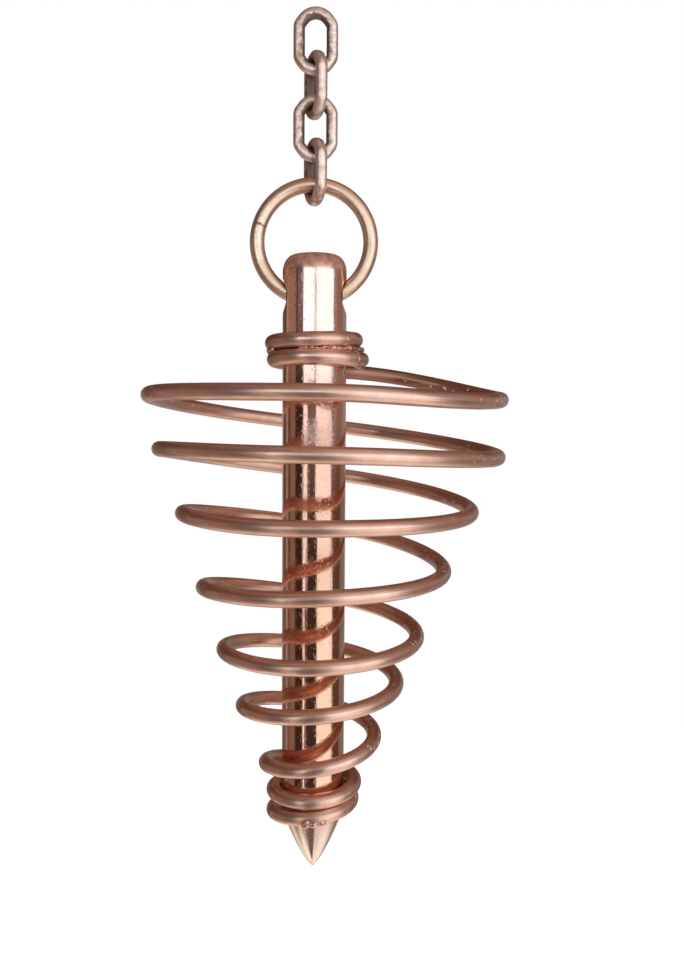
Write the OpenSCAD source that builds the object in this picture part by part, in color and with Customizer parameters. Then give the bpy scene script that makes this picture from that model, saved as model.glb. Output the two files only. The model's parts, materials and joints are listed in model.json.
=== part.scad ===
// Pendulum pendant: a pointed copper rod in a cage of wound wire, on a ring and a short chain.
// +Z is up, +X is to the right of someone facing the pendant, and +Y points away from them.
// The origin is where the pendant hangs: the inside of the top link's upper end.
// Every piece is drawn above the rod's point, and hung() then lowers it to its place.

/* [Rod] */
// Diameter of the rod
rod_d = 6.3; // [6:0.1:6.3]
// Length of the rod, point included
rod_len = 61.6; // [60:0.1:64]
// Radius of the flat on top of the rod
rod_flat_r = 2; // [1:0.1:2.2]
// Height of the rounded edge round that flat
rod_round_h = 1.3; // [1:0.1:2]
// Length of the turned point
point_len = 6; // [4:0.5:8]
// How full the point is: 1 is a straight cone, less is rounder
point_fullness = 0.69; // [0.5:0.01:1]
// Diameter of the cross hole that the ring goes through
hole_d = 3.1; // [3:0.05:3.2]
// Depth of the hole's axis below the top of the rod
hole_drop = 4; // [3.9:0.1:4.5]
// Width of the bevel round each mouth of the hole
hole_bevel = 0.25; // [0.1:0.05:0.4]

/* [Coil] */
// Diameter of the coil's wire
coil_wire = 1.5; // [1.3:0.05:1.5]
// Gap between the tight wraps and the rod
wrap_gap = 0.05; // [0.03:0.01:0.08]
// How far the wire rises above its path as it leaves the upper wraps
lead_rise = 1; // [0:0.1:1]
// How far the first open turn dips below its path on the left
lead_dip = 0.25; // [0:0.05:0.5]
// Flat sides round the coil's wire
coil_sides = 10; // [8:1:10]
// Sections in each turn of the coil
turn_sections = 48; // [36:4:48]

/* [Ring] */
// Diameter of the ring's wire
ring_wire = 1.45; // [1.3:0.05:1.45]
// Outer diameter of the ring
ring_outer = 12.6; // [12:0.1:12.8]
// Sideways place of the ring in the hole
ring_shift = -0.1; // [-0.1:0.05:0.1]
// How far the ring's lowest wire lies below the hole's axis
ring_sag = 0.32; // [0.28:0.01:0.36]

/* [Chain] */
// Number of links
link_count = 4; // [2:1:8]
// Length of a link
link_len = 6.5; // [6.4:0.1:7]
// Width of a link
link_width = 4.33; // [4.2:0.01:4.6]
// Diameter of a link's wire
link_wire = 1.12; // [1:0.02:1.12]
// Length of the slanted shoulder between a link's side and its rounded end
link_shoulder = 0.45; // [0.4:0.05:0.5]
// Bend radius where the shoulders meet the sides
link_side_bend = 0.7; // [0.65:0.05:0.8]
// Turn of each second link about the chain, from face on
link_turn = -68; // [-90:1:-68]
// Gap between one link's end and the next
link_gap = 0.12; // [0.1:0.01:0.2]
// Gap between the lowest link's end and the ring
ring_gap = 0.18; // [0.16:0.01:0.25]

/* [Hidden] */
$fn = 48;

rod_r = rod_d / 2;
wire_r = coil_wire / 2;
hole_z = rod_len - hole_drop;
// Radius of the wire's middle where it is wound tightly on the rod
hug = rod_r + wire_r + wrap_gap;

ring_r = (ring_outer - ring_wire) / 2;
ring_z = hole_z - ring_sag + ring_r;
link_half = (link_len - link_wire) / 2;
side_x = (link_width - link_wire) / 2;
lowest_link_z = ring_z + ring_r - (ring_wire + link_wire) / 2 - ring_gap + link_half;
link_pitch = link_len - 2 * link_wire - link_gap;
hang_z = lowest_link_z + (link_count - 1) * link_pitch + link_len / 2 - link_wire;

// The coil's path, one row a turn from the top, read at the right, front, left and back.
// The wire goes clockwise as it comes down, seen from above. Radii are of the wire's
// middle, and heights are above the rod's point.
// Columns: radius right, front, left, back, then height right, front, left, back
coil_rows = [
    [hug + 0.1, hug, hug + 0.2, hug + 0.25, 53.35, 53.15, 53, 52.45],
    [hug + 0.7, hug + 0.1, hug, hug, 51.45, 51.55, 51.4, 50.75],
    [18.3, 17.1, 16.1, 17.1, 47.65, 47.8, 47.65, 44.9],
    [18.1, 16.6, 15.1, 15.4, 42.05, 42.65, 42.45, 39.45],
    [15.6, 14.2, 12.9, 13, 36.65, 36.25, 36.25, 33.65],
    [13, 11.9, 10.9, 10.7, 30.7, 29.75, 28.85, 26.05],
    [10.4, 9.6, 8.9, 8.7, 23.95, 22.95, 22.65, 20.9],
    [8.4, 7.7, 7, 6.6, 19.15, 17.85, 16.85, 15.05],
    [6.2, 5.4, 4.7, 4.4, 13.55, 11.95, 10.95, 9.55],
    [hug + 0.25, hug + 0.05, hug, hug, 8.85, 8.25, 8.15, 7.75],
    [hug, hug, hug, hug, 7.25, 6.65, 6.05, 5.75]
];
// Both cut ends lie behind the rod, in turns from the right side of the first row
coil_start = -0.08;
coil_end = 10.6;
// Turn at which the wire leaves the upper wraps
lead_start = 1.75;

// Value of one quarter turn, from a row's first column of that kind
function quarter(k, column) = coil_rows[floor(k / 4)][column + k % 4];
quarters = 4 * len(coil_rows);
radii = [for (k = [0:quarters - 1]) quarter(k, 0)];
heights = [for (k = [0:quarters - 1]) quarter(k, 4)];

// Number of the quarter turn that q lies in, kept inside the list
function span_of(v, q) = max(0, min(len(v) - 2, floor(q)));

// Slope at a quarter turn that never carries the radius past its neighbours
function gain(v, k) = v[k + 1] - v[k];
function level(v, k) = k <= 0 || k >= len(v) - 1 || gain(v, k - 1) * gain(v, k) <= 0;
function slope(v, k) = level(v, k) ? 0
    : 2 * gain(v, k - 1) * gain(v, k) / (gain(v, k - 1) + gain(v, k));
function eased(v, q) =
    let (k = span_of(v, q), f = q - k, f2 = f * f, f3 = f2 * f)
    v[k] + (3 * f2 - 2 * f3) * gain(v, k)
    + (f3 - 2 * f2 + f) * slope(v, k) + (f3 - f2) * slope(v, k + 1);

// Smooth curve through every height
function flowing(v, q) =
    let (
        k = span_of(v, q), f = q - k,
        before = v[max(0, k - 1)], from = v[k],
        to = v[k + 1], after = v[min(len(v) - 1, k + 2)]
    )
    from + f * (to - before) / 2 + f * f * (before - 2.5 * from + 2 * to - after / 2)
    + pow(f, 3) * (1.5 * (from - to) + (after - before) / 2);

// The first open turn humps up as it leaves the wraps, then dips
function lead(t) =
    let (q = 4 * (t - lead_start))
    q > 0 && q < 1 ? lead_rise * pow(sin(180 * q), 2)
    : q >= 1 && q < 2 ? -lead_dip * pow(sin(180 * q), 2) : 0;

function outward(t) = [cos(360 * t), -sin(360 * t), 0];
function path(t) = eased(radii, 4 * t) * outward(t) + [0, 0, flowing(heights, 4 * t) + lead(t)];
function unit(v) = v / norm(v);
function heading(t) = unit(path(t + 0.0005) - path(t - 0.0005));

// One section of the wire: a ring of points square to its path
function section(t) =
    let (
        middle = path(t), ahead = heading(t),
        out = unit(outward(t) - (outward(t) * ahead) * ahead), across = cross(ahead, out)
    )
    [
        for (s = [0:coil_sides - 1])
            let (a = 360 * s / coil_sides) middle + wire_r * (cos(a) * out + sin(a) * across)
    ];

// Lowers a piece drawn above the rod's point to its place below the origin
module hung() {
    translate([0, 0, -hang_z]) children();
}

module rod() {
    // Outline of the point, from its tip up
    point_steps = 12;
    point = [
        for (k = [0:point_steps])
            let (h = point_len * pow(k / point_steps, 2))
            [rod_r * pow(h / point_len, point_fullness), h]
    ];
    // Rounded top edge, from the side to the flat
    top_steps = 8;
    top = [
        for (k = [0:top_steps])
            let (a = 90 * k / top_steps)
            [
                rod_flat_r + (rod_r - rod_flat_r) * cos(a),
                rod_len - rod_round_h + rod_round_h * sin(a)
            ]
    ];
    color("#c98a75") hung() difference() {
        rotate_extrude() polygon(concat(point, top, [[0, rod_len]]));
        translate([0, 0, hole_z]) {
            rotate([0, 90, 0]) cylinder(d = hole_d, h = 2 * rod_d, center = true);
            for (side = [-90, 90]) {
                rotate([0, side, 0]) translate([0, 0, rod_r - hole_bevel])
                    cylinder(d1 = hole_d, d2 = hole_d + 4 * hole_bevel, h = 2 * hole_bevel);
            }
        }
    }
}

module coil() {
    sections = ceil((coil_end - coil_start) * turn_sections);
    rings = [
        for (i = [0:sections]) section(coil_start + (coil_end - coil_start) * i / sections)
    ];
    first_cap = [for (s = [0:coil_sides - 1]) s];
    last_cap = [for (s = [coil_sides - 1:-1:0]) sections * coil_sides + s];
    walls = [
        for (i = [0:sections - 1], s = [0:coil_sides - 1])
            let (
                here = i * coil_sides, next = here + coil_sides, beside = (s + 1) % coil_sides
            )
            [here + beside, here + s, next + s, next + beside]
    ];
    color("#b87355") hung()
        polyhedron([for (r = rings) each r], concat([first_cap], walls, [last_cap]), 4);
}

module ring() {
    color("#d39a78") hung() translate([ring_shift, 0, ring_z]) rotate([90, 0, 0])
        rotate_extrude() translate([ring_r, 0]) circle(d = ring_wire);
}

// Round wire bent about the origin in the XZ plane, between two angles from the X axis
module bend(radius, from, to) {
    rotate([0, -from, 0]) rotate([90, 0, 0]) rotate_extrude(angle = to - from)
        translate([radius, 0]) circle(d = link_wire);
}

// Straight wire between two points of the XZ plane
module straight(from, to) {
    along = to - from;
    translate([from[0], 0, from[1]]) rotate([0, atan2(along[0], along[1]), 0])
        cylinder(d = link_wire, h = norm(along));
}

// One link, number k from the top: straight sides, slanted shoulders and rounded ends
module chain_link(k) {
    // The shoulders slant as the long side of a 3, 4, 5 triangle stands on its short side
    slant = atan2(3, 4);
    inward = 0.6;
    upward = 0.8;
    bend_x = side_x - link_side_bend;
    end_bend = (bend_x + upward * link_side_bend - inward * link_shoulder) / upward;
    end_z = link_half - end_bend;
    shoulder_top = [upward * end_bend, end_z + inward * end_bend];
    shoulder_foot = shoulder_top + link_shoulder * [inward, -upward];
    bend_z = shoulder_foot[1] - inward * link_side_bend;

    z = lowest_link_z + (link_count - k) * link_pitch;
    color(k % 2 == 1 ? "#b58a76" : "#a87e6a") hung() translate([0, 0, z])
        rotate([0, 0, k % 2 == 1 ? 0 : link_turn])
        for (side = [0, 1], end = [0, 1]) mirror([side, 0, 0]) mirror([0, 0, end]) {
            translate([0, 0, end_z]) bend(end_bend, slant, 90);
            straight(shoulder_foot, shoulder_top);
            translate([bend_x, 0, bend_z]) bend(link_side_bend, 0, slant);
            straight([side_x, 0], [side_x, bend_z]);
        }
}

rod();
coil();
ring();
for (k = [1:link_count]) {
    chain_link(k);
}
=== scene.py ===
"""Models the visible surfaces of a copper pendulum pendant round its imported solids.

The pieces are the polished rod, the wound coil, the solder on its tight wraps, the ring and
the chain's links. Lengths in the settings are in metres, and +Z is up.
"""

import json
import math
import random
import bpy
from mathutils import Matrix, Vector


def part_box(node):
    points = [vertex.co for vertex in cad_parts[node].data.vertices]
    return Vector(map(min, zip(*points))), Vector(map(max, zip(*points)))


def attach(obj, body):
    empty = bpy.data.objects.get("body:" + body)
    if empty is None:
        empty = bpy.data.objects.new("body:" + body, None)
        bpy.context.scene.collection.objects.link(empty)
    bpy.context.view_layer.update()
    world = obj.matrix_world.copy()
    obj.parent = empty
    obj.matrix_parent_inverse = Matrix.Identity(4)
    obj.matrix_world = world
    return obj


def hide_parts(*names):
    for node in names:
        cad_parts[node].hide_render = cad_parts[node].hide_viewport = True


bl_info = {
    "name": "Pendulum pendant",
    "version": (1, 0, 0),
    "blender": (4, 5, 0),
    "location": "3D View > Sidebar > Pendant",
    "description": "Copper pendulum pendant: rod, coil, ring and chain with their finishes",
    "category": "Object",
}

import bpy
from bpy.props import FloatProperty, IntProperty, PointerProperty, StringProperty
from mathutils import Matrix, Vector

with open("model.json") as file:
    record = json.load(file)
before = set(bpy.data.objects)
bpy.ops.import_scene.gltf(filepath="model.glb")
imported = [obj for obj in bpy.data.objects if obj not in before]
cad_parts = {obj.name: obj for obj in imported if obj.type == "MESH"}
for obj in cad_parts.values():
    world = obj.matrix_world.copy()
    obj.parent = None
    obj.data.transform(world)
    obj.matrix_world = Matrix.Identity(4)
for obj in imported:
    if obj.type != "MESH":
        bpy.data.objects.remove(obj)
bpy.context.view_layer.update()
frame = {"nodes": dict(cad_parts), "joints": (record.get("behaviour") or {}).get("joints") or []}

MM = 0.001
ROD_LOW, ROD_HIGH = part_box("rod")
RING_LOW, RING_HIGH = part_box("ring")
LINK_LOW, LINK_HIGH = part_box("link_1")
LINKS = sorted(name for name in frame["nodes"] if name.startswith("link_"))
JOINTS = {joint["name"]: joint for joint in frame["joints"]}
ROD_RADIUS = (ROD_HIGH.x - ROD_LOW.x) / 2
RING_WIRE = RING_HIGH.y - RING_LOW.y
RING_RADIUS = (RING_HIGH.z - RING_LOW.z - RING_WIRE) / 2
RING_CENTRE = (RING_LOW + RING_HIGH) / 2
LINK_WIRE = LINK_HIGH.y - LINK_LOW.y
COIL_WIRE = 1.5 * MM
POINT_Z = ROD_LOW.z

# The coil's path in millimetres, one row a turn from the top, as in the solids.
# Heights are above the rod's point.
# Columns: radius right, front, left, back, then height right, front, left, back
COIL_ROWS = [
    (4.05, 3.95, 4.15, 4.2, 53.35, 53.15, 53.0, 52.45),
    (4.65, 4.05, 3.95, 3.95, 51.45, 51.55, 51.4, 50.75),
    (18.3, 17.1, 16.1, 17.1, 47.65, 47.8, 47.65, 44.9),
    (18.1, 16.6, 15.1, 15.4, 42.05, 42.65, 42.45, 39.45),
    (15.6, 14.2, 12.9, 13.0, 36.65, 36.25, 36.25, 33.65),
    (13.0, 11.9, 10.9, 10.7, 30.7, 29.75, 28.85, 26.05),
    (10.4, 9.6, 8.9, 8.7, 23.95, 22.95, 22.65, 20.9),
    (8.4, 7.7, 7.0, 6.6, 19.15, 17.85, 16.85, 15.05),
    (6.2, 5.4, 4.7, 4.4, 13.55, 11.95, 10.95, 9.55),
    (4.2, 4.0, 3.95, 3.95, 8.85, 8.25, 8.15, 7.75),
    (3.95, 3.95, 3.95, 3.95, 7.25, 6.65, 6.05, 5.75),
]
# First and last turn of the wire
COIL_START = -0.08
COIL_END = 10.6
# Turn at which the wire leaves the upper wraps, and how many millimetres it rises and then
# dips there
LEAD_START = 1.75
LEAD_RISE = 1.0
LEAD_DIP = 0.25

# A colour Mix node's sockets by number: its two colours, and its result
FIRST, SECOND, MIXED = 6, 7, 2


class RodSettings(bpy.types.PropertyGroup):
    point_length: FloatProperty(
        name="Point length", description="Length of the turned point",
        default=6 * MM, unit="LENGTH", precision=4)
    point_fullness: FloatProperty(
        name="Point fullness", description="1 is a straight cone, less is rounder",
        default=0.74, min=0.5, max=1.0)
    flat_radius: FloatProperty(
        name="Flat radius", description="Radius of the flat on top of the rod",
        default=2 * MM, unit="LENGTH", precision=4)
    round_height: FloatProperty(
        name="Round height", description="Height of the rounded top edge",
        default=1.7 * MM, unit="LENGTH", precision=4)
    hole_diameter: FloatProperty(
        name="Hole diameter", description="Diameter of the cross hole for the ring",
        default=3.1 * MM, unit="LENGTH", precision=4)
    hole_bevel: FloatProperty(
        name="Hole bevel", description="Width of the worn rim round each mouth of the hole",
        default=0.22 * MM, unit="LENGTH", precision=5)
    around: IntProperty(
        name="Sections around", description="Faces round the rod", default=160, min=32)
    colour: StringProperty(
        name="Colour", description="sRGB hex colour of the polished copper", default="#F5CBB8")


class CoilSettings(bpy.types.PropertyGroup):
    sides: IntProperty(
        name="Sides", description="Faces round the wire", default=20, min=8)
    sections: IntProperty(
        name="Sections", description="Sections in each turn", default=96, min=24)
    colour: StringProperty(
        name="Colour", description="sRGB hex colour of the drawn wire", default="#F9D1BE")


class RingSettings(bpy.types.PropertyGroup):
    seam_angle: FloatProperty(
        name="Seam angle", description="Place of the butt seam, from the right side",
        default=math.radians(162.4), subtype="ANGLE")
    seam_width: FloatProperty(
        name="Seam width", description="Width of the groove where the ring's ends meet",
        default=0.14 * MM, unit="LENGTH", precision=5)
    seam_depth: FloatProperty(
        name="Seam depth", description="Depth of that groove",
        default=0.04 * MM, unit="LENGTH", precision=5)
    seam_skew: FloatProperty(
        name="Seam skew", description="How far the cut is turned from square",
        default=math.radians(7), subtype="ANGLE")
    sections: IntProperty(
        name="Sections", description="Sections round the ring", default=200, min=48)
    colour: StringProperty(
        name="Colour", description="sRGB hex colour of the ring's copper", default="#FADBC2")


class ChainSettings(bpy.types.PropertyGroup):
    shoulder: FloatProperty(
        name="Shoulder", description="Length of a link's slanted shoulder",
        default=0.45 * MM, unit="LENGTH", precision=5)
    side_bend: FloatProperty(
        name="Side bend", description="Bend radius where the shoulders meet the sides",
        default=0.7 * MM, unit="LENGTH", precision=5)
    squareness: FloatProperty(
        name="Squareness", description="2 is round wire, more is filed flatter",
        default=2.45, min=2.0, max=6.0)
    turn: FloatProperty(
        name="Turn", description="Turn of each second link about the chain",
        default=math.radians(-68), subtype="ANGLE")
    colour: StringProperty(
        name="Colour", description="sRGB hex colour of the links where they are worn bright",
        default="#F9DFD1")
    patina: StringProperty(
        name="Patina", description="sRGB hex colour of the links' patina", default="#867266")


class SolderSettings(bpy.types.PropertyGroup):
    bead: FloatProperty(
        name="Bead", description="Radius of a middling bead of solder",
        default=0.27 * MM, unit="LENGTH", precision=5)
    seed: IntProperty(
        name="Seed", description="Start of the beads' random sizes", default=7, min=0)
    colour: StringProperty(
        name="Colour", description="sRGB hex colour of the solder", default="#F6CDBB")


class StageSettings(bpy.types.PropertyGroup):
    floor_radius: FloatProperty(
        name="Floor radius", description="Radius of the pale floor",
        default=0.45, unit="LENGTH")
    floor_depth: FloatProperty(
        name="Floor depth", description="How far the floor lies below the rod's point",
        default=0.12, unit="LENGTH")
    camera_distance: FloatProperty(
        name="Camera distance", description="From the rod's axis to the camera",
        default=96 * MM, unit="LENGTH", precision=4)
    lens_height: FloatProperty(
        name="Lens height", description="Height of the camera above the rod's point",
        default=45.75 * MM, unit="LENGTH", precision=5)


def linear(colour):
    """Linear RGBA of an sRGB hex colour such as #C98A75."""
    parts = [int(colour[i:i + 2], 16) / 255 for i in (1, 3, 5)]
    return (*[p / 12.92 if p <= 0.04045 else ((p + 0.055) / 1.055) ** 2.4 for p in parts], 1.0)


def add(tree, kind, inputs=(), stops=(), **settings):
    """Adds a node with its settings. inputs maps a socket's name or number to a value or link,
    and stops are the (place, colour) pairs of a colour ramp."""
    node = tree.nodes.new(kind)
    for name, value in settings.items():
        setattr(node, name, value)
    for socket, value in dict(inputs).items():
        if isinstance(value, bpy.types.NodeSocket):
            tree.links.new(value, node.inputs[socket])
        else:
            node.inputs[socket].default_value = value
    # A new ramp has two stops
    for _ in stops[2:]:
        node.color_ramp.elements.new(1.0)
    for k, (place, colour) in enumerate(stops):
        node.color_ramp.elements[k].position = place
        node.color_ramp.elements[k].color = colour
    return node


def new_material(name):
    """An empty node material, its tree and its Principled shader."""
    material = bpy.data.materials.new(name)
    material.use_nodes = True
    tree = material.node_tree
    return material, tree, tree.nodes["Principled BSDF"]


def mottled(tree, place, size, first, second):
    """Two sRGB hex colours, mixed in blots of that size."""
    noise = add(tree, "ShaderNodeTexNoise",
                {"Vector": place, "Scale": 1 / size, "Detail": 4.0})
    blend = add(tree, "ShaderNodeMapRange",
                {"Value": noise.outputs["Fac"], "From Min": 0.35, "From Max": 0.65})
    return add(tree, "ShaderNodeMix",
               {"Factor": blend.outputs["Result"], FIRST: linear(first), SECOND: linear(second)},
               data_type="RGBA").outputs[MIXED]


def sunken(tree, place, spacing, radius):
    """0 in round pits of that radius, scattered that far apart, and 1 between them."""
    cells = add(tree, "ShaderNodeTexVoronoi", {"Vector": place, "Scale": 1 / spacing})
    return add(tree, "ShaderNodeMapRange",
               {"Value": cells.outputs["Distance"], "From Min": 0.2 * radius / spacing,
                "From Max": radius / spacing}).outputs["Result"]


def rod_relief(tree, place, worn):
    """Normal of the rod's surface: scratched and nicked, and eaten into where it is worn."""
    # Scratches run along the rod: 0.12 mm apart across it, and some 6 mm long
    stretched = add(tree, "ShaderNodeMapping", {"Vector": place, "Scale": (1.0, 1.0, 0.02)})
    scratches = add(tree, "ShaderNodeTexNoise",
                    {"Vector": stretched.outputs["Vector"], "Scale": 1 / (0.12 * MM),
                     "Detail": 5.0})
    # Grains of 0.15 to 0.3 mm are eaten into the worn places
    grain = add(tree, "ShaderNodeTexNoise",
                {"Vector": place, "Scale": 1 / (0.3 * MM), "Detail": 2.0})
    eaten = add(tree, "ShaderNodeMapRange",
                {"Value": grain.outputs["Fac"], "From Min": 0.5, "From Max": 0.64})
    patchy = add(tree, "ShaderNodeMath", {0: eaten.outputs["Result"], 1: worn},
                 operation="MULTIPLY")
    # Shallow nicks over the whole rod, 0.17 mm wide and twice as long
    squeezed = add(tree, "ShaderNodeMapping", {"Vector": place, "Scale": (1.0, 1.0, 0.5)})
    chips = add(tree, "ShaderNodeTexNoise",
                {"Vector": squeezed.outputs["Vector"], "Scale": 1 / (0.17 * MM), "Detail": 2.0})
    nicked = add(tree, "ShaderNodeMapRange",
                 {"Value": chips.outputs["Fac"], "From Min": 0.58, "From Max": 0.7,
                  "To Max": 0.3})
    depth = add(tree, "ShaderNodeMath",
                {0: patchy.outputs["Value"], 1: nicked.outputs["Result"]}, operation="MAXIMUM")
    relief = add(tree, "ShaderNodeMath", {0: depth.outputs["Value"], 1: -0.6},
                 operation="MULTIPLY")
    fine = add(tree, "ShaderNodeMath",
               {0: scratches.outputs["Fac"], 1: 0.2, 2: relief.outputs["Value"]},
               operation="MULTIPLY_ADD")
    return add(tree, "ShaderNodeBump",
               {"Height": fine.outputs["Value"], "Strength": 1.0,
                "Distance": 0.025 * MM}).outputs["Normal"]


def polished_copper(settings):
    """Turned and buffed copper: a mirror with lengthwise scratches, nicks and a worn top."""
    material, tree, shader = new_material("polished copper")
    place = add(tree, "ShaderNodeTexCoord").outputs["Object"]
    height = add(tree, "ShaderNodeSeparateXYZ", {"Vector": place}).outputs["Z"]

    # The side is faintly mottled. The turned top is painted redder, in blots of 0.7 mm: a
    # painted reflection of the brown room above it, on a duller, less metallic surface which
    # hides some of the metal
    top = add(tree, "ShaderNodeMapRange",
              {"Value": height, "From Min": ROD_HIGH.z - 1.7 * MM,
               "From Max": ROD_HIGH.z - 1.3 * MM}).outputs["Result"]
    bare = add(tree, "ShaderNodeMapRange", {"Value": top, "To Min": 1.0, "To Max": 0.55})
    tree.links.new(bare.outputs["Result"], shader.inputs["Metallic"])
    side_and_painted_top = add(tree, "ShaderNodeMix",
               {"Factor": top,
                FIRST: mottled(tree, place, 2.5 * MM, settings.colour, "#EEC2AC"),
                SECOND: mottled(tree, place, 0.7 * MM, "#EEB9A6", "#C98A76")},
               data_type="RGBA")
    # The point is painted paler than the rest: a painted reflection of the white floor below it
    point = add(tree, "ShaderNodeMapRange",
                {"Value": height, "From Min": POINT_Z + 3.5 * MM,
                 "From Max": POINT_Z + 6 * MM, "To Min": 0.75, "To Max": 0.0})
    pale = add(tree, "ShaderNodeMix",
               {"Factor": point.outputs["Result"], FIRST: side_and_painted_top.outputs[MIXED],
                SECOND: linear("#FCEEDF")}, data_type="RGBA")
    tree.links.new(pale.outputs[MIXED], shader.inputs["Base Color"])

    # Worn places: a patch on the front, just below the first open turn, and the top's edge
    from_patch = add(tree, "ShaderNodeVectorMath",
                     {0: place, 1: (0.6 * MM, -ROD_RADIUS, POINT_Z + 43.9 * MM)},
                     operation="DISTANCE")
    patch = add(tree, "ShaderNodeMapRange",
                {"Value": from_patch.outputs["Value"], "From Min": 0.8 * MM,
                 "From Max": 2.4 * MM, "To Min": 0.8, "To Max": 0.0})
    rim = add(tree, "ShaderNodeMapRange",
              {"Value": height, "From Min": ROD_HIGH.z - 2.2 * MM,
               "From Max": ROD_HIGH.z - 0.9 * MM, "To Max": 0.5})
    worn = add(tree, "ShaderNodeMath",
               {0: patch.outputs["Result"], 1: rim.outputs["Result"]},
               operation="MAXIMUM").outputs["Value"]
    tree.links.new(rod_relief(tree, place, worn), shader.inputs["Normal"])

    # Smears of polish, 0.5 mm wide and 8 mm long, dull the metal, as wear and the duller top do
    smeared = add(tree, "ShaderNodeMapping", {"Vector": place, "Scale": (1.0, 1.0, 0.06)})
    smears = add(tree, "ShaderNodeTexNoise",
                 {"Vector": smeared.outputs["Vector"], "Scale": 1 / (0.5 * MM),
                  "Detail": 3.0})
    haze = add(tree, "ShaderNodeMapRange",
               {"Value": smears.outputs["Fac"], "From Min": 0.35, "From Max": 0.75,
                "To Min": 0.03, "To Max": 0.14})
    dull = add(tree, "ShaderNodeMath", {0: worn, 1: 0.22, 2: haze.outputs["Result"]},
               operation="MULTIPLY_ADD")
    rough = add(tree, "ShaderNodeMath", {0: top, 1: 0.25, 2: dull.outputs["Value"]},
                operation="MULTIPLY_ADD")
    tree.links.new(rough.outputs["Value"], shader.inputs["Roughness"])
    return material


def drawn_wire(name, bright, dull, nicked):
    """Drawn copper wire: satin, tarnished in patches and streaked with draw lines.
    nicked is the depth of the nicks on its sides, and the strength of the painted glints in
    them, from 0 to 1."""
    material, tree, shader = new_material(name)
    place = add(tree, "ShaderNodeTexCoord").outputs["Object"]
    along = add(tree, "ShaderNodeAttribute", attribute_name="wire").outputs["Vector"]

    # Draw lines, in the units that mark_wire stores, and tarnish in patches of about 2 mm
    lines = add(tree, "ShaderNodeTexNoise",
                {"Vector": along, "Scale": 1.0, "Detail": 3.0}).outputs["Fac"]
    patches = add(tree, "ShaderNodeTexNoise",
                  {"Vector": place, "Scale": 1 / (2 * MM), "Detail": 5.0, "Roughness": 0.6})
    both = add(tree, "ShaderNodeMath", {0: lines, 1: patches.outputs["Fac"]}, operation="ADD")
    tarnish = add(tree, "ShaderNodeMapRange",
                  {"Value": both.outputs["Value"], "From Min": 0.75,
                   "From Max": 1.3}).outputs["Result"]
    haze = add(tree, "ShaderNodeMapRange", {"Value": tarnish, "To Min": 0.26, "To Max": 0.4})
    tree.links.new(haze.outputs["Result"], shader.inputs["Roughness"])
    tarnished = add(tree, "ShaderNodeMix",
                    {"Factor": tarnish, FIRST: linear(bright), SECOND: linear(dull)},
                    data_type="RGBA")
    # Grime in the ring's seam, and on the coil painted shade and painted dark reflections, as
    # their operators store it
    grime_and_painted_shade = add(tree, "ShaderNodeAttribute", attribute_name="grime_and_painted_shade").outputs["Fac"]
    grimed_and_shaded = add(tree, "ShaderNodeMix",
                {"Factor": grime_and_painted_shade, FIRST: tarnished.outputs[MIXED], SECOND: linear("#94604A")},
                data_type="RGBA")

    # The far left and right stick out, and are dotted with nicks 0.4 mm wide and 0.8 mm apart
    parts = add(tree, "ShaderNodeSeparateXYZ", {"Vector": place})
    level = add(tree, "ShaderNodeCombineXYZ",
                {"X": parts.outputs["X"], "Y": parts.outputs["Y"]})
    outward = add(tree, "ShaderNodeVectorMath", {0: level.outputs["Vector"]},
                  operation="NORMALIZE")
    unsigned = add(tree, "ShaderNodeVectorMath", {0: outward.outputs["Vector"]},
                   operation="ABSOLUTE")
    sideways = add(tree, "ShaderNodeSeparateXYZ", {"Vector": unsigned.outputs["Vector"]})
    exposed = add(tree, "ShaderNodeMapRange",
                  {"Value": sideways.outputs["X"], "From Min": 0.74, "From Max": 0.9,
                   "To Max": nicked}).outputs["Result"]
    pits = sunken(tree, place, 0.8 * MM, 0.21 * MM)
    nicks = add(tree, "ShaderNodeMath", {0: pits, 1: exposed}, operation="MULTIPLY")
    # Painted glints: pale spots in them that aren't metal, standing in for the light that their
    # facets catch
    pit_middles = add(tree, "ShaderNodeMapRange", {"Value": pits, "To Min": 1.0, "To Max": 0.0})
    painted_glints = add(tree, "ShaderNodeMath", {0: pit_middles.outputs["Result"], 1: exposed},
               operation="MULTIPLY").outputs["Value"]
    dotted = add(tree, "ShaderNodeMix",
                 {"Factor": painted_glints, FIRST: grimed_and_shaded.outputs[MIXED], SECOND: linear("#FFF2E6")},
                 data_type="RGBA")
    tree.links.new(dotted.outputs[MIXED], shader.inputs["Base Color"])
    # Elsewhere a thin film of oxide scatters a little light
    metal = add(tree, "ShaderNodeMapRange", {"Value": painted_glints, "To Min": 0.9, "To Max": 0.2})
    tree.links.new(metal.outputs["Result"], shader.inputs["Metallic"])

    relief = add(tree, "ShaderNodeMath", {0: lines, 1: 0.04, 2: nicks.outputs["Value"]},
                 operation="MULTIPLY_ADD")
    bump = add(tree, "ShaderNodeBump",
               {"Height": relief.outputs["Value"], "Strength": 1.0, "Distance": 0.07 * MM})
    tree.links.new(bump.outputs["Normal"], shader.inputs["Normal"])
    return material


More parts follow.
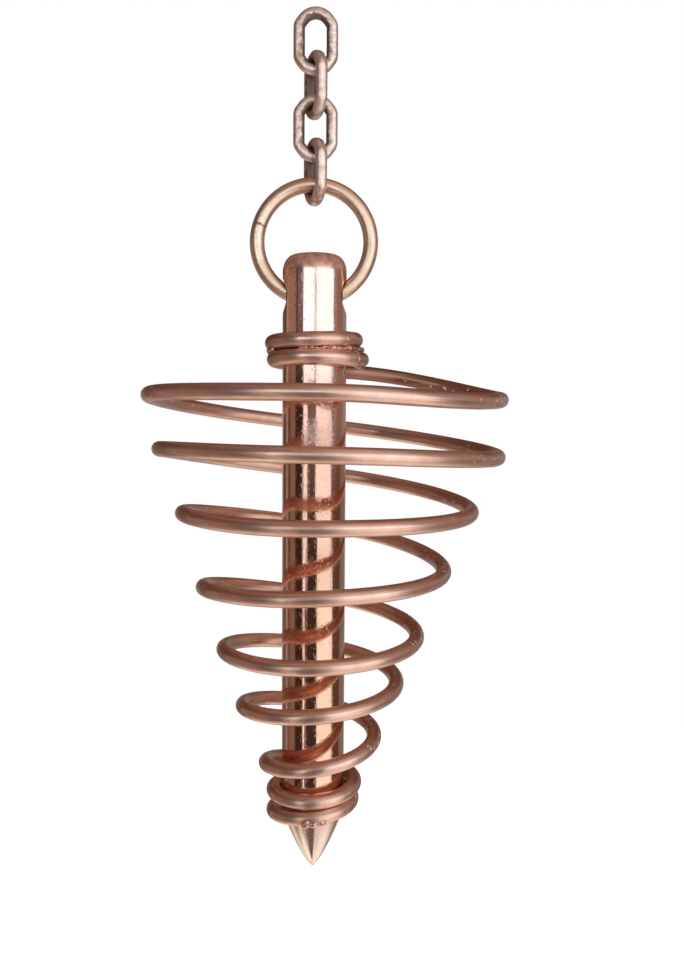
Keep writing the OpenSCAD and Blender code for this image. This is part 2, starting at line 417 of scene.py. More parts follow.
def aged_copper(settings):
    """Tumbled chain copper: worn cream outside, grey and ochre patina in what lies deeper."""
    material, tree, shader = new_material("aged copper")
    place = add(tree, "ShaderNodeTexCoord").outputs["Object"]
    worn = add(tree, "ShaderNodeAttribute", attribute_name="worn").outputs["Fac"]
    # Wear in blots of 0.6 mm, and ochre stains of 1.1 mm
    blots = add(tree, "ShaderNodeTexNoise",
                {"Vector": place, "Scale": 1 / (0.6 * MM), "Detail": 4.0, "Roughness": 0.6})
    edge = add(tree, "ShaderNodeMath", {0: worn, 1: blots.outputs["Fac"]}, operation="ADD")
    bright = add(tree, "ShaderNodeMapRange",
                 {"Value": edge.outputs["Value"], "From Min": 0.72,
                  "From Max": 1.02}).outputs["Result"]
    blotted = add(tree, "ShaderNodeMix",
                  {"Factor": bright, FIRST: linear(settings.patina),
                   SECOND: linear(settings.colour)}, data_type="RGBA")
    stains = add(tree, "ShaderNodeTexNoise",
                 {"Vector": place, "Scale": 1 / (1.1 * MM), "Detail": 3.0, "Distortion": 0.5})
    stained = add(tree, "ShaderNodeMapRange",
                  {"Value": stains.outputs["Fac"], "From Min": 0.52, "From Max": 0.7,
                   "To Max": 0.75})
    warm = add(tree, "ShaderNodeMix",
               {"Factor": stained.outputs["Result"], FIRST: blotted.outputs[MIXED],
                SECOND: linear("#BE9A72")}, data_type="RGBA")
    tree.links.new(warm.outputs[MIXED], shader.inputs["Base Color"])
    shader.inputs["Metallic"].default_value = 0.85
    haze = add(tree, "ShaderNodeMapRange", {"Value": bright, "To Min": 0.5, "To Max": 0.32})
    tree.links.new(haze.outputs["Result"], shader.inputs["Roughness"])
    # Tumbling has left it uneven, by some 0.04 mm from blot to blot
    bump = add(tree, "ShaderNodeBump",
               {"Height": blots.outputs["Fac"], "Strength": 0.7, "Distance": 0.12 * MM})
    tree.links.new(bump.outputs["Normal"], shader.inputs["Normal"])
    return material


def soft_solder(settings):
    """Solder run onto the wire: lumpy, half bright, with brown flux baked on."""
    material, tree, shader = new_material("soft solder")
    place = add(tree, "ShaderNodeTexCoord").outputs["Object"]
    # Flux in spots of 0.3 mm, and a grain of 0.15 mm
    tree.links.new(mottled(tree, place, 0.3 * MM, settings.colour, "#B47E68"),
                   shader.inputs["Base Color"])
    shader.inputs["Metallic"].default_value = 0.95
    grain = add(tree, "ShaderNodeTexNoise",
                {"Vector": place, "Scale": 1 / (0.15 * MM), "Detail": 3.0}).outputs["Fac"]
    haze = add(tree, "ShaderNodeMapRange",
               {"Value": grain, "From Min": 0.35, "From Max": 0.65,
                "To Min": 0.22, "To Max": 0.42})
    tree.links.new(haze.outputs["Result"], shader.inputs["Roughness"])
    bump = add(tree, "ShaderNodeBump",
               {"Height": grain, "Strength": 0.5, "Distance": 0.05 * MM})
    tree.links.new(bump.outputs["Normal"], shader.inputs["Normal"])
    return material


def deselect():
    """Leaves object mode with nothing selected, so that operators reach only the new piece."""
    if bpy.context.object and bpy.context.object.mode != "OBJECT":
        bpy.ops.object.mode_set(mode="OBJECT")
    bpy.ops.object.select_all(action="DESELECT")


def pick(piece):
    """Selects the piece alone and makes it active."""
    deselect()
    piece.select_set(True)
    bpy.context.view_layer.objects.active = piece


def drawn_line(name, points, closed=False):
    """A curve object of straight spans through the points."""
    curve = bpy.data.curves.new(name, "CURVE")
    curve.dimensions = "3D"
    spline = curve.splines.new("POLY")
    spline.points.add(len(points) - 1)
    for point, place in zip(spline.points, points):
        point.co = (*place, 1.0)
    spline.use_cyclic_u = closed
    line = bpy.data.objects.new(name, curve)
    bpy.context.scene.collection.objects.link(line)
    return line


def meshed(line):
    """The curve object as a mesh object."""
    pick(line)
    bpy.ops.object.convert(target="MESH")
    return bpy.context.object


def wire_along(name, points, radius, sides, closed=False):
    """Round wire swept along the points, with flat ends."""
    line = drawn_line(name, points, closed)
    line.data.bevel_depth = radius
    line.data.bevel_resolution = max(0, (sides - 4) // 2)
    line.data.use_fill_caps = not closed
    return meshed(line)


def smooth(piece, angle=40.0):
    """Smooth shading, broken only at edges sharper than the angle in degrees."""
    pick(piece)
    bpy.ops.object.shade_smooth_by_angle(angle=math.radians(angle))


def dress(piece, material, body, slot, *nodes):
    """Gives a finished piece its material, its body and the nodes that it stands for."""
    piece.data.materials.clear()
    piece.data.materials.append(material)
    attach(piece, body)
    if nodes:
        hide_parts(*nodes)


def gain(values, k):
    """Step from one quarter turn to the next."""
    return values[k + 1] - values[k]


def slope(values, k):
    """Slope at a quarter turn that never carries the radius past its neighbours."""
    if k <= 0 or k >= len(values) - 1:
        return 0.0
    before, after = gain(values, k - 1), gain(values, k)
    return 0.0 if before * after <= 0 else 2 * before * after / (before + after)


def eased(values, q):
    """Radius at quarter turn q."""
    k = max(0, min(len(values) - 2, math.floor(q)))
    f = q - k
    return (values[k] + (3 * f**2 - 2 * f**3) * gain(values, k)
            + (f**3 - 2 * f**2 + f) * slope(values, k) + (f**3 - f**2) * slope(values, k + 1))


def flowing(values, q):
    """Height at quarter turn q, on a smooth curve through every height."""
    k = max(0, min(len(values) - 2, math.floor(q)))
    f = q - k
    before, after = values[max(0, k - 1)], values[min(len(values) - 1, k + 2)]
    here, there = values[k], values[k + 1]
    return (here + f * (there - before) / 2
            + f**2 * (before - 2.5 * here + 2 * there - after / 2)
            + f**3 * (1.5 * (here - there) + (after - before) / 2))


def lead(t):
    """Hump of the wire as it leaves the upper wraps, and the dip after it."""
    q = 4 * (t - LEAD_START)
    if 0 < q < 1:
        return LEAD_RISE * math.sin(math.pi * q) ** 2
    if 1 <= q < 2:
        return -LEAD_DIP * math.sin(math.pi * q) ** 2
    return 0.0


RADII = [row[k] for row in COIL_ROWS for k in range(4)]
HEIGHTS = [row[4 + k] for row in COIL_ROWS for k in range(4)]


def coil_point(t):
    """Middle of the coil's wire at turn t, in metres."""
    angle = -2 * math.pi * t
    radius = eased(RADII, 4 * t) * MM
    height = (flowing(HEIGHTS, 4 * t) + lead(t)) * MM
    return Vector((radius * math.cos(angle), radius * math.sin(angle), POINT_Z + height))


def outward(t):
    """Level direction from the rod's axis to the coil's wire at turn t."""
    return Vector((math.cos(2 * math.pi * t), -math.sin(2 * math.pi * t), 0.0))


def mark_wire(piece, sides, ring_count, spacing):
    """Stores how far along and round the wire each corner lies, for the draw lines. One unit
    is a line's length along the wire, and two lines' distance round it."""
    line_length = 12 * MM
    lines_per_radian = 5
    mesh = piece.data
    layer = mesh.attributes.new("wire", "FLOAT_VECTOR", "POINT")
    for k in range(min(len(mesh.vertices), sides * ring_count)):
        ring, side = divmod(k, sides)
        angle = 2 * math.pi * side / sides
        layer.data[k].vector = (ring * spacing / line_length,
                                lines_per_radian * math.cos(angle),
                                lines_per_radian * math.sin(angle))


def rod_outline(rod, hole_z):
    """Points from the rod's point to the middle of its top, to be spun about its axis."""
    point_top = POINT_Z + rod.point_length
    outline = []
    steps = 24
    for k in range(steps + 1):
        height = rod.point_length * (k / steps) ** 2
        radius = ROD_RADIUS * (height / rod.point_length) ** rod.point_fullness
        outline.append((radius, 0.0, POINT_Z + height))
    # No row of faces ends within the hole's height, so that the rim bevels cleanly
    spans = 56
    clear_z = hole_z - rod.hole_diameter / 2 - 0.5 * MM
    outline += [(ROD_RADIUS, 0.0, point_top + (clear_z - point_top) * k / spans)
                for k in range(1, spans + 1)]
    round_z = ROD_HIGH.z - rod.round_height
    bends = 14
    for k in range(bends + 1):
        angle = math.pi / 2 * k / bends
        outline.append((rod.flat_radius + (ROD_RADIUS - rod.flat_radius) * math.cos(angle), 0.0,
                        round_z + rod.round_height * math.sin(angle)))
    return outline + [(rod.flat_radius * 0.5, 0.0, ROD_HIGH.z), (0.0, 0.0, ROD_HIGH.z)]


def drill(piece, diameter, height):
    """Drills a level hole through the rod, from left to right."""
    deselect()
    bpy.ops.mesh.primitive_cylinder_add(
        vertices=96, radius=diameter / 2, depth=4 * ROD_RADIUS,
        location=(0, 0, height), rotation=(0, math.pi / 2, 0))
    bit = bpy.context.object
    pick(piece)
    cut = piece.modifiers.new("hole", "BOOLEAN")
    cut.operation = "DIFFERENCE"
    cut.solver = "EXACT"
    cut.object = bit
    bpy.ops.object.modifier_apply(modifier=cut.name)
    bpy.data.objects.remove(bit)


def wear_rim(piece, rod, hole_z):
    """Bevels the hole's mouths. Their edges lie on its wall and on the rod's side at once."""
    mesh = piece.data
    rim = set()
    for vertex in mesh.vertices:
        vertex.select = False
        x, y, z = vertex.co
        off_wall = abs(math.hypot(y, z - hole_z) - rod.hole_diameter / 2)
        off_side = abs(math.hypot(x, y) - ROD_RADIUS)
        if off_wall < 0.01 * MM and off_side < 0.02 * MM:
            rim.add(vertex.index)
    for polygon in mesh.polygons:
        polygon.select = False
    for edge in mesh.edges:
        edge.select = edge.vertices[0] in rim and edge.vertices[1] in rim
    bpy.ops.object.mode_set(mode="EDIT")
    bpy.ops.mesh.select_mode(type="EDGE")
    bpy.ops.mesh.bevel(offset=rod.hole_bevel, segments=4, affect="EDGES")
    bpy.ops.object.mode_set(mode="OBJECT")


class PENDANT_OT_rod(bpy.types.Operator):
    """Spin the rod's outline, drill its cross hole and wear the hole's rim"""

    bl_idname = "pendant.rod"
    bl_label = "Rod"

    def execute(self, context):
        rod = context.scene.pendant_rod
        hole_z = JOINTS["pendulum_swing"]["pos_m"][2]
        piece = meshed(drawn_line("polished_rod", rod_outline(rod, hole_z)))
        bpy.ops.object.mode_set(mode="EDIT")
        bpy.ops.mesh.select_all(action="SELECT")
        bpy.ops.mesh.spin(steps=rod.around, angle=2 * math.pi, center=(0, 0, 0), axis=(0, 0, 1))
        bpy.ops.mesh.select_all(action="SELECT")
        bpy.ops.mesh.remove_doubles(threshold=0.001 * MM)
        bpy.ops.mesh.normals_make_consistent(inside=False)
        bpy.ops.object.mode_set(mode="OBJECT")
        drill(piece, rod.hole_diameter, hole_z)
        wear_rim(piece, rod, hole_z)
        smooth(piece, 35)
        dress(piece, polished_copper(rod), "pendulum", "polished_copper", "rod")
        return {"FINISHED"}


def painted_darkening(t):
    """How much painted shade and painted dark reflection lies on the coil's wire at turn t, from
    0 to 1.
    """
    # Painted dark reflection on the far left and right of each turn, where the wire mirrors the
    # room's dark sides, and most on the upper wraps, which end at turn 1.7
    end = max(0.0, abs(math.cos(2 * math.pi * t)) - 0.75) / 0.25
    painted_reflection_on_ends = (0.6 if t < 1.7 else 0.38) * end
    # Painted shade on the wire that leaves these wraps, in the shadow of the rod and the wraps:
    # most at turn 1.88, and none from 0.16 turns off
    painted_shade_leaving = max(0.0, 1 - abs(t - 1.88) / 0.16)
    return max(painted_reflection_on_ends, min(0.8, 1.6 * painted_shade_leaving))


class PENDANT_OT_coil(bpy.types.Operator):
    """Wind the wire: two tight wraps, the open turns and the tight wraps above the point"""

    bl_idname = "pendant.coil"
    bl_label = "Coil"

    def execute(self, context):
        coil = context.scene.pendant_coil
        count = math.ceil((COIL_END - COIL_START) * coil.sections)
        points = [coil_point(COIL_START + (COIL_END - COIL_START) * k / count)
                  for k in range(count + 1)]
        piece = wire_along("wound_coil", points, COIL_WIRE / 2, coil.sides)
        length = sum((b - a).length for a, b in zip(points, points[1:]))
        mark_wire(piece, coil.sides, count + 1, length / count)
        # Painted shade and painted dark reflections along the wire, which its material darkens
        grime_and_painted_shade = piece.data.attributes.new("grime_and_painted_shade", "FLOAT", "POINT")
        for k in range(coil.sides * (count + 1)):
            grime_and_painted_shade.data[k].value = painted_darkening(
                COIL_START + (COIL_END - COIL_START) * (k // coil.sides) / count)
        smooth(piece)
        dress(piece, drawn_wire("satin drawn copper", coil.colour, "#E9B79F", 1.0),
              "pendulum", "drawn_copper_wire", "coil")
        return {"FINISHED"}


def solder_drops(chance):
    """Middle and size of each bead of solder, from the first wrap to the last."""
    drops = []
    # In the groove between the first wrap at turn t and the second, one turn on. Each run has
    # its first and last turn, how many millimetres it stands out, and its beads' size
    turns_apart = 0.0085
    for first, last, out, size in ((-0.03, 0.11, 0.34, 1.25), (0.11, 0.19, 0.1, 0.9),
                                   (0.19, 0.3, 0.22, 0.7), (0.43, 0.58, 0.4, 1.2)):
        steps = round((last - first) / turns_apart)
        for k in range(steps + 1):
            t = first + (last - first) * k / steps + chance.uniform(-0.003, 0.003)
            middle = (coil_point(t) + coil_point(t + 1)) / 2
            middle += outward(t) * (out + chance.uniform(-0.05, 0.03)) * MM
            middle.z += chance.uniform(-0.06, 0.06) * MM
            drops.append((middle, size * chance.uniform(0.65, 1.0)))
    # A drip over the second wrap, and a knob on the first, each bead half sunk into the wire:
    # its turn, how many millimetres it sits above the wire's middle, and its size
    reach = 0.66
    for t, up, size in ((1.085, 0.45, 0.9), (1.09, 0.2, 0.8), (1.087, -0.1, 0.75),
                        (1.092, -0.35, 0.6), (0.125, -0.1, 0.8), (0.13, 0.15, 0.6)):
        out = math.sqrt(max(0.0, reach**2 - up**2))
        drops.append((coil_point(t) + (outward(t) * out + Vector((0.0, 0.0, up))) * MM, size))
    # A lump under the second wrap's right end, where the wire leaves for the open turns
    count = 14
    for k in range(count):
        t = 0.96 + 0.0105 * k
        swell = math.sin(math.pi * (k + 0.5) / count)
        middle = coil_point(t) + outward(t) * chance.uniform(-0.1, 0.1) * MM
        middle.z -= (0.4 + 0.3 * swell) * MM
        drops.append((middle, 0.8 + 0.6 * swell))
    # A blob on the lower edge of the last wrap
    for k in range(count):
        t = 10.205 + 0.0055 * k + chance.uniform(-0.002, 0.002)
        middle = coil_point(t) + outward(t) * chance.uniform(0.4, 0.55) * MM
        middle.z -= chance.uniform(0.1, 0.55) * MM
        drops.append((middle, chance.uniform(0.9, 1.5)))
    return drops


class PENDANT_OT_solder(bpy.types.Operator):
    """Run beads of solder into the upper wraps' groove, under their end and on the last wrap"""

    bl_idname = "pendant.solder"
    bl_label = "Solder"

    def execute(self, context):
        settings = context.scene.pendant_solder
        # The beads are drawn in millimetres, because the remesh takes no finer voxels
        beads = []
        for middle, size in solder_drops(random.Random(settings.seed)):
            deselect()
            bpy.ops.mesh.primitive_ico_sphere_add(
                subdivisions=2, radius=size * settings.bead / MM, location=middle / MM)
            beads.append(bpy.context.object)
        piece = beads[0]
        pick(piece)
        for bead in beads:
            bead.select_set(True)
        bpy.ops.object.join()
        bpy.ops.object.transform_apply(location=True, rotation=True, scale=True)
        melt = piece.modifiers.new("melt", "REMESH")
        melt.mode = "VOXEL"
        melt.voxel_size = 0.07
        bpy.ops.object.modifier_apply(modifier=melt.name)
        flow = piece.modifiers.new("flow", "SMOOTH")
        flow.iterations = 7
        bpy.ops.object.modifier_apply(modifier=flow.name)
        piece.scale = (MM, MM, MM)
        bpy.ops.object.transform_apply(location=True, rotation=True, scale=True)
        piece.name = "solder_beads"
        smooth(piece, 70)
        dress(piece, soft_solder(settings), "pendulum", "drawn_copper_wire")
        return {"FINISHED"}


class PENDANT_OT_ring(bpy.types.Operator):
    """Bend the ring and close it at its butt seam"""

    bl_idname = "pendant.ring"
    bl_label = "Ring"

    def execute(self, context):
        ring = context.scene.pendant_ring
        half = ring.seam_width / 2 / RING_RADIUS
        # The seam's bottom, its two edges and the sections between them
        turns = [0.0, half]
        turns += [half + (2 * math.pi - 2 * half) * k / ring.sections
                  for k in range(1, ring.sections)]
        turns.append(2 * math.pi - half)
        points = [RING_CENTRE + RING_RADIUS * Vector((
            math.cos(ring.seam_angle + turn), 0.0, math.sin(ring.seam_angle + turn)))
            for turn in turns]
        line = drawn_line("jump_ring", points, closed=True)
        line.data.bevel_depth = RING_WIRE / 2
        line.data.bevel_resolution = 12
        line.data.splines[0].points[0].radius = 1 - ring.seam_depth / (RING_WIRE / 2)
        piece = meshed(line)
        mesh = piece.data
        sides = len(mesh.vertices) // len(points)
        mark_wire(piece, sides, len(points), 2 * math.pi * RING_RADIUS / len(points))
        # The groove and its two edges are turned from square, and the groove holds grime
        grime_and_painted_shade = mesh.attributes.new("grime_and_painted_shade", "FLOAT", "POINT")
        out = Vector((math.cos(ring.seam_angle), 0.0, math.sin(ring.seam_angle)))
        ahead = Vector((-math.sin(ring.seam_angle), 0.0, math.cos(ring.seam_angle)))
        for section in (0, 1, len(points) - 1):
            for vertex in mesh.vertices[section * sides:(section + 1) * sides]:
                reach = (vertex.co - RING_CENTRE).dot(out) - RING_RADIUS
                vertex.co -= ahead * reach * math.tan(ring.seam_skew)
                grime_and_painted_shade.data[vertex.index].value = 0.9 if section == 0 else 0.1
        smooth(piece)
        dress(piece, drawn_wire("golden drawn copper", ring.colour, "#E3BA9A", 0.12),
              "ring", "ring_copper", "ring")
        return {"FINISHED"}


def link_outline(chain):
    """Middle line of a link standing in the XZ plane, round its centre."""
    half_length = (LINK_HIGH.z - LINK_LOW.z - LINK_WIRE) / 2
    half_width = (LINK_HIGH.x - LINK_LOW.x - LINK_WIRE) / 2
    # A shoulder leans in by 3 for each 4 that it rises
    inward, upward = 0.6, 0.8
    slant = math.atan2(inward, upward)
    bend_x = half_width - chain.side_bend
    end_bend = (bend_x + upward * chain.side_bend - inward * chain.shoulder) / upward
    end_z = half_length - end_bend
    foot_z = end_z + inward * end_bend - upward * chain.shoulder
    bend_z = foot_z - inward * chain.side_bend
    side_spans, bend_spans, end_spans = 5, 8, 12
    quarter = [(half_width, bend_z * k / side_spans) for k in range(side_spans)]
    for k in range(bend_spans + 1):
        angle = slant * k / bend_spans
        quarter.append((bend_x + chain.side_bend * math.cos(angle),
                        bend_z + chain.side_bend * math.sin(angle)))
    for k in range(end_spans + 1):
        angle = slant + (math.pi / 2 - slant) * k / end_spans
        quarter.append((end_bend * math.cos(angle), end_z + end_bend * math.sin(angle)))
    right = quarter + [(-x, z) for x, z in reversed(quarter[1:-1])]
    upper = right + [(-half_width, 0.0)]
    return upper + [(x, -z) for x, z in reversed(upper[1:-1])]


def filed_section(chain):
    """Closed outline of the links' wire, round but filed flatter on its four sides."""
    power = 2 / chain.squareness
    steps = 24
    points = []
    for k in range(steps):
        angle = 2 * math.pi * k / steps
        across, through = math.cos(angle), math.sin(angle)
        points.append((
            LINK_WIRE / 2 * math.copysign(abs(across) ** power, across),
            LINK_WIRE / 2 * math.copysign(abs(through) ** power, through), 0.0))
    return points


def mark_worn(piece):
    """Stores how much each corner is worn: most where it faces outward, least underneath."""
    mesh = piece.data
    layer = mesh.attributes.new("worn", "FLOAT", "POINT")
    for vertex in mesh.vertices:
        # A link rubs on its sides more than on its ends
        away = Vector((vertex.co.x, 0.0, vertex.co.z * 0.25)).normalized()
        sheltered = 0.5 * max(0.0, -vertex.normal.z)
        layer.data[vertex.index].value = 0.5 + 0.5 * vertex.normal.dot(away) - sheltered


class PENDANT_OT_chain(bpy.types.Operator):
    """Bend one link and hang its copies in the chain"""

    bl_idname = "pendant.chain"
    bl_label = "Chain"

    def execute(self, context):
        chain = context.scene.pendant_chain
        section = drawn_line("link_section", filed_section(chain), closed=True)
        outline = [(x, 0.0, z) for x, z in link_outline(chain)]
        line = drawn_line("link_pattern", outline, closed=True)
        line.data.bevel_mode = "OBJECT"
        line.data.bevel_object = section
        pattern = meshed(line)
        bpy.data.objects.remove(section)
        bpy.ops.object.mode_set(mode="EDIT")
        bpy.ops.mesh.select_all(action="SELECT")
        bpy.ops.mesh.normals_make_consistent(inside=False)
        bpy.ops.object.mode_set(mode="OBJECT")
        mark_worn(pattern)
        smooth(pattern, 50)
        finish = aged_copper(chain)
        for number, node in enumerate(LINKS, 1):
            pick(pattern)
            bpy.ops.object.duplicate()
            piece = bpy.context.object
            piece.name = f"chain_link_{number}"
            low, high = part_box(node)
            turn = 0.0 if number % 2 else chain.turn
            piece.rotation_euler = (0.0, 0.0, turn)
            piece.location = (0.0, 0.0, (low.z + high.z) / 2)
            bpy.ops.object.transform_apply(location=True, rotation=True, scale=True)
            dress(piece, finish, "chain", "aged_copper", node)
        bpy.data.objects.remove(pattern)
        return {"FINISHED"}


# The studio round the pendant, in its few plain tones
SKY = "#DCEEFF"
WINDOW = "#FCFCFF"
PAPER = "#E6E1DD"
WALL = "#92776B"
DOOR = "#6B4F43"
SHADE = "#3A2D28"

# Each panel: from and to degrees round the pendant, from and to degrees of height, softness of
# the edge in degrees, colour and strength. 0 degrees round is straight in front, where the
# camera stands, and positive is to the right. A later panel covers an earlier one.
STUDIO = {
    "backdrop behind on the right": (150, 200, -64, 12, 8, PAPER, 0.42),
    "backdrop behind on the left": (-200, -148, -64, 4, 8, PAPER, 0.5),
    "pale floor on the left": (-165, -70, -88, -58, 6, "#EAE4D6", 1.3),
    "pale floor behind on the left": (-175, -112, -88, -40, 6, "#EAE4D6", 1.0),
    "wall on the left": (-115, -68, 3, 11, 2, "#947C72", 1.1),
    "far strip on the left": (-119, -108, -45, 8, 2, PAPER, 0.45),
    "near strip on the left": (-92, -69, -45, 3, 2, WALL, 0.85),
    "dark corner on the left": (-68, -38, -38, 50, 4, SHADE, 0.9),
    "glow above the corner": (-66, -38, 42, 66, 8, PAPER, 0.3),
    "grey corner on the left": (-62, -37, 4, 12, 3, "#7C7880", 1.0),
    "wall on the right": (70, 126, -3, 45, 3, WALL, 1.0),
    "grey door frame on the right": (74, 89, -4, 13, 2, "#98949C", 1.0),
    "pale doorway on the right": (126, 152, -3, 14, 3, PAPER, 0.4),
    "dark lower wall on the right": (74, 112, -30, -3, 3, DOOR, 0.75),
    "pale lower wall on the right": (114, 150, -30, -3, 4, PAPER, 0.27),
    "pale floor on the right": (62, 160, -88, -48, 10, PAPER, 1.25),
    "soft light over the window": (0, 75, 32, 72, 14, PAPER, 0.7),
    "window": (-38, 66, -9, 30, 3, WINDOW, 1.2),
    "right window's top": (7, 67, 28, 36, 4, WINDOW, 0.95),
    "right window's lower part": (8, 74, -36, -8, 4, "#FFFEF6", 1.2),
    "right window's foot": (16, 78, -68, -36, 6, WINDOW, 0.86),
    "left window's foot": (-35.5, -31, -62, -8, 1.5, PAPER, 2.0),
    "stand below the lens": (-26, 8, -68, -38, 5, SHADE, 1.8),
    "foot of the stand": (-50, 17, -89, -65, 4, "#866E62", 0.7),
    "upper window bar": (-24, 4, 15, 62, 5, WALL, 0.95),
    "bright sky in the window": (-38, 73, 3, 13, 2, SKY, 2.25),
    "window bar": (1, 9, 2, 13, 1, "#C6E6FF", 1.05),
}


def between(tree, value, low, high, soft):
    """1 where value, in degrees, lies from low to high, with edges of that softness."""
    rising = add(tree, "ShaderNodeMapRange",
                 {"Value": value, "From Min": low - soft, "From Max": low + soft},
                 interpolation_type="SMOOTHSTEP")
    falling = add(tree, "ShaderNodeMapRange",
                  {"Value": value, "From Min": high - soft, "From Max": high + soft,
                   "To Min": 1.0, "To Max": 0.0},
                  interpolation_type="SMOOTHSTEP")
    return add(tree, "ShaderNodeMath",
               {0: rising.outputs["Result"], 1: falling.outputs["Result"]},
               operation="MULTIPLY").outputs["Value"]


def room_light(tree):
    """The studio as the metal sees it: bright front windows, dark gaps and brown walls."""
    way = add(tree, "ShaderNodeTexCoord").outputs["Generated"]
    parts = add(tree, "ShaderNodeSeparateXYZ", {"Vector": way})
    forward = add(tree, "ShaderNodeMath", {0: parts.outputs["Y"], 1: -1.0},
                  operation="MULTIPLY")
    turned = add(tree, "ShaderNodeMath", {0: parts.outputs["X"], 1: forward.outputs["Value"]},
                 operation="ARCTAN2")
    raised = add(tree, "ShaderNodeMath", {0: parts.outputs["Z"]}, operation="ARCSINE")
    turn, rise = [add(tree, "ShaderNodeMath", {0: angle.outputs["Value"]},
                      operation="DEGREES").outputs["Value"] for angle in (turned, raised)]
    height = add(tree, "ShaderNodeMapRange",
                 {"Value": rise, "From Min": -90.0, "From Max": 90.0})
    # The walls' colour at each height in degrees, from the floor to the ceiling
    walls = [(-90, "#FFFCFA"), (-76, "#EEE6E1"), (-62, "#AEA29C"), (-45, "#8C807A"),
             (-30, "#7C6658"), (0, "#66493C"), (35, "#5F4034"), (60, "#7A5B50"), (90, "#957568")]
    colour = add(tree, "ShaderNodeValToRGB", {"Fac": height.outputs["Result"]},
                 stops=[((place + 90) / 180, linear(hue)) for place, hue in walls]
                 ).outputs["Color"]
    for left, right, low, high, soft, hue, strength in STUDIO.values():
        inside = add(tree, "ShaderNodeMath",
                     {0: between(tree, turn, left, right, soft),
                      1: between(tree, rise, low, high, soft)}, operation="MULTIPLY")
        panel = [strength * part for part in linear(hue)[:3]] + [1.0]
        colour = add(tree, "ShaderNodeMix",
                     {"Factor": inside.outputs["Value"], FIRST: colour, SECOND: panel},
                     data_type="RGBA").outputs[MIXED]
    return colour


def lay_floor(stage):
    """Lays backlit white acrylic: matt, and bright enough to lose its own shadows."""
    deselect()
    bpy.ops.mesh.primitive_cylinder_add(
        vertices=128, radius=stage.floor_radius, depth=2 * MM,
        location=(0, 0, POINT_Z - stage.floor_depth))
    floor = bpy.context.object
    floor.name = "floor"
    material, _, shader = new_material("white acrylic")
    shader.inputs["Base Color"].default_value = linear("#F4F3F1")
    shader.inputs["Roughness"].default_value = 0.6
    shader.inputs["Emission Color"].default_value = linear("#FFFFFF")
    shader.inputs["Emission Strength"].default_value = 1.0
    floor.data.materials.append(material)
    # The metal mirrors the studio's own floor instead
    floor.visible_glossy = False


# Two cards just behind the lens, as tall as a camera and its stand, for the metal to mirror:
# left and right edge from the rod's axis, and top edge above the lens, in millimetres
CARDS = {"dark_card": (-39, 13, 7), "side_card": (13, 24, -20)}
# Lower edge of both, from the lens
CARD_FOOT = -160 * MM
CARD_BEHIND_LENS = 2 * MM


def stand_cards(stage, lens_z):
    """Stands up matt card, grey at the lens and turning dark brown by 30 mm below it."""
    material, tree, shader = new_material("card")
    place = add(tree, "ShaderNodeTexCoord").outputs["Object"]
    parts = add(tree, "ShaderNodeSeparateXYZ", {"Vector": place})
    height = add(tree, "ShaderNodeMapRange",
                 {"Value": parts.outputs["Z"], "From Min": lens_z - 30 * MM,
                  "From Max": lens_z - 2 * MM})
    greys = add(tree, "ShaderNodeValToRGB", {"Fac": height.outputs["Result"]},
                stops=[(0.0, linear("#4A3A34")), (0.5, linear("#6A5C54")),
                       (1.0, linear("#A0968E"))])
    tree.links.new(greys.outputs["Color"], shader.inputs["Base Color"])
    shader.inputs["Roughness"].default_value = 0.8
    for name, (left, right, top) in CARDS.items():
        deselect()
        bpy.ops.mesh.primitive_plane_add(size=1.0, rotation=(math.pi / 2, 0, 0), location=(
            (left + right) / 2 * MM, -stage.camera_distance - CARD_BEHIND_LENS,
            lens_z + (top * MM + CARD_FOOT) / 2))
        card = bpy.context.object
        card.name = name
        card.scale = ((right - left) * MM, top * MM - CARD_FOOT, 1.0)
        bpy.ops.object.transform_apply(location=True, rotation=True, scale=True)
        card.data.materials.append(material)
        # Views from the side and from behind look past the cards
        card.visible_camera = False


def light_studio(scene):
    """Sets white behind the pendant for the camera, and the room's light for all else."""
    world = bpy.data.worlds.new("studio")
    world.use_nodes = True
    scene.world = world
    tree = world.node_tree
    tree.nodes.clear()
    room = add(tree, "ShaderNodeBackground", {"Color": room_light(tree), "Strength": 1.0})
    paper = add(tree, "ShaderNodeBackground", {"Color": linear("#FFFFFF"), "Strength": 1.0})
    seen = add(tree, "ShaderNodeLightPath").outputs["Is Camera Ray"]
    mix = add(tree, "ShaderNodeMixShader",
              {0: seen, 1: room.outputs["Background"], 2: paper.outputs["Background"]})
    add(tree, "ShaderNodeOutputWorld", {"Surface": mix.outputs["Shader"]})


# The photograph is 958 pixels high, and its lens spans 965 pixels to one radian
PHOTO_HEIGHT = 958
PIXELS_PER_RADIAN = 965
SENSOR_HEIGHT = 36.0
CAMERA_RIGHT = 2.8 * MM
CAMERA_PITCH = math.radians(3.65)
CAMERA_ROLL = math.radians(0.35)


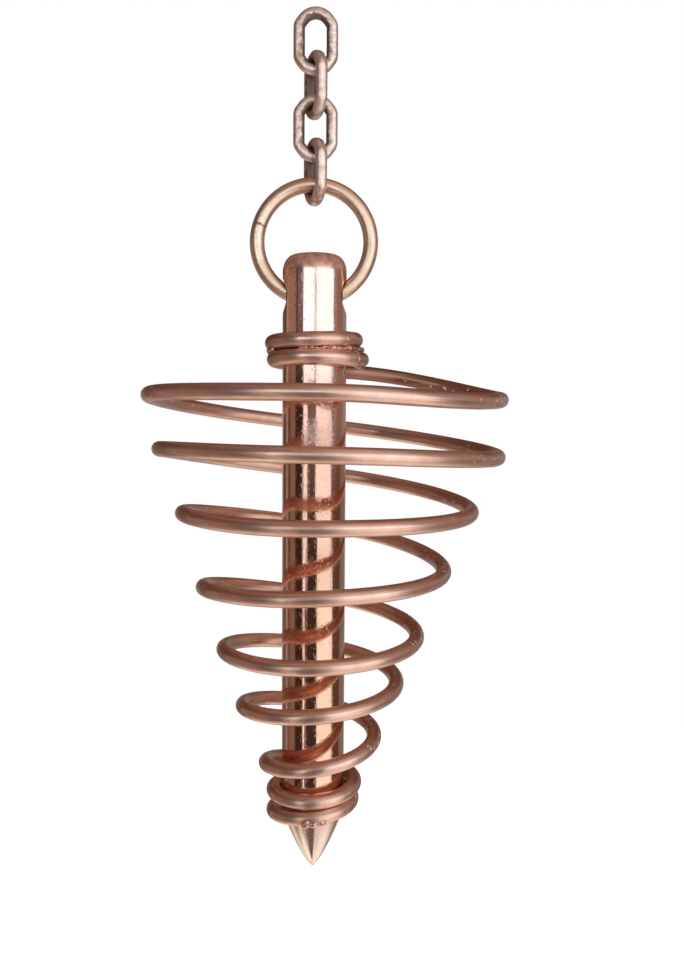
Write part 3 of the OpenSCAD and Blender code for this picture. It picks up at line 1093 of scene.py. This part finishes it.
def place_camera(scene, distance, lens_z):
    """Sets up the photograph's camera, a little right of the rod and tipped down."""
    data = bpy.data.cameras.new("camera")
    data.sensor_fit = "VERTICAL"
    data.sensor_height = SENSOR_HEIGHT
    data.lens = SENSOR_HEIGHT * PIXELS_PER_RADIAN / PHOTO_HEIGHT
    data.clip_start = 1 * MM
    camera = bpy.data.objects.new("camera", data)
    scene.collection.objects.link(camera)
    camera.matrix_world = (
        Matrix.Translation((CAMERA_RIGHT, -distance, lens_z))
        @ Matrix.Rotation(math.pi / 2 - CAMERA_PITCH, 4, "X")
        @ Matrix.Rotation(CAMERA_ROLL, 4, "Z"))
    scene.camera = camera


class PENDANT_OT_stage(bpy.types.Operator):
    """Set the pale floor, the soft studio light and the camera"""

    bl_idname = "pendant.stage"
    bl_label = "Stage"

    def execute(self, context):
        stage = context.scene.pendant_stage
        lens_z = POINT_Z + stage.lens_height
        lay_floor(stage)
        stand_cards(stage, lens_z)
        light_studio(context.scene)
        place_camera(context.scene, stage.camera_distance, lens_z)
        context.scene.view_settings.view_transform = "Standard"
        return {"FINISHED"}


class PENDANT_PT_panel(bpy.types.Panel):
    """Lists the pieces and their settings"""

    bl_idname = "PENDANT_PT_panel"
    bl_label = "Pendulum pendant"
    bl_space_type = "VIEW_3D"
    bl_region_type = "UI"
    bl_category = "Pendant"

    def draw(self, context):
        for group in SETTINGS:
            box = self.layout.box()
            box.operator(f"pendant.{group}")
            settings = getattr(context.scene, f"pendant_{group}")
            for name in settings.__annotations__:
                box.prop(settings, name)


SETTINGS = {"rod": RodSettings, "coil": CoilSettings, "solder": SolderSettings,
            "ring": RingSettings, "chain": ChainSettings, "stage": StageSettings}
OPERATORS = (PENDANT_OT_rod, PENDANT_OT_coil, PENDANT_OT_solder, PENDANT_OT_ring,
             PENDANT_OT_chain, PENDANT_OT_stage)


def register():
    for name, group in SETTINGS.items():
        bpy.utils.register_class(group)
        setattr(bpy.types.Scene, f"pendant_{name}", PointerProperty(type=group))
    for operator in OPERATORS:
        bpy.utils.register_class(operator)
    bpy.utils.register_class(PENDANT_PT_panel)


def unregister():
    bpy.utils.unregister_class(PENDANT_PT_panel)
    for operator in reversed(OPERATORS):
        bpy.utils.unregister_class(operator)
    for name, group in reversed(SETTINGS.items()):
        delattr(bpy.types.Scene, f"pendant_{name}")
        bpy.utils.unregister_class(group)


def main():
    register()
    bpy.ops.pendant.rod()
    bpy.ops.pendant.coil()
    bpy.ops.pendant.solder()
    bpy.ops.pendant.ring()
    bpy.ops.pendant.chain()
    bpy.ops.pendant.stage()


if __name__ == "__main__":
    main()
